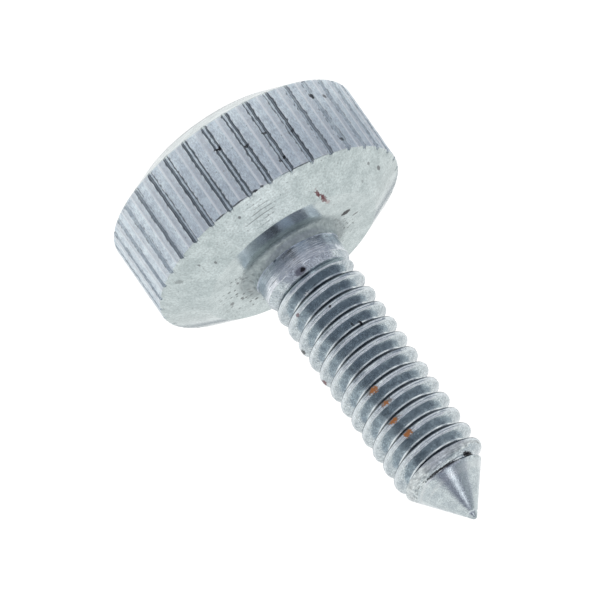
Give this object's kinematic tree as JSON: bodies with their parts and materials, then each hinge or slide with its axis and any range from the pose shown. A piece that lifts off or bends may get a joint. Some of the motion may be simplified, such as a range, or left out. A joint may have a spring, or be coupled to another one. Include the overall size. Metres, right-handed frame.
{
  "type": "thumb screw",
  "caption": "Knurled thumb screw with a round bevelled head, plain filleted neck, single-start right-hand thread and a cone point.",
  "frame": {"origin": "centre of the flat top face of the head, on which the screw stands", "axes": "+Z along the screw's axis, from the head towards the cone point; a knurl groove lies on +X"},
  "size_m": [0.0182, 0.0182, 0.0308],
  "materials": {
    "zinc_plated_steel": "bright zinc plating over turned steel, with fine turning marks, pits and a few rust spots"
  },
  "bodies": {
    "root": {"thumb_screw": "zinc_plated_steel"}
  },
  "joints": []
}
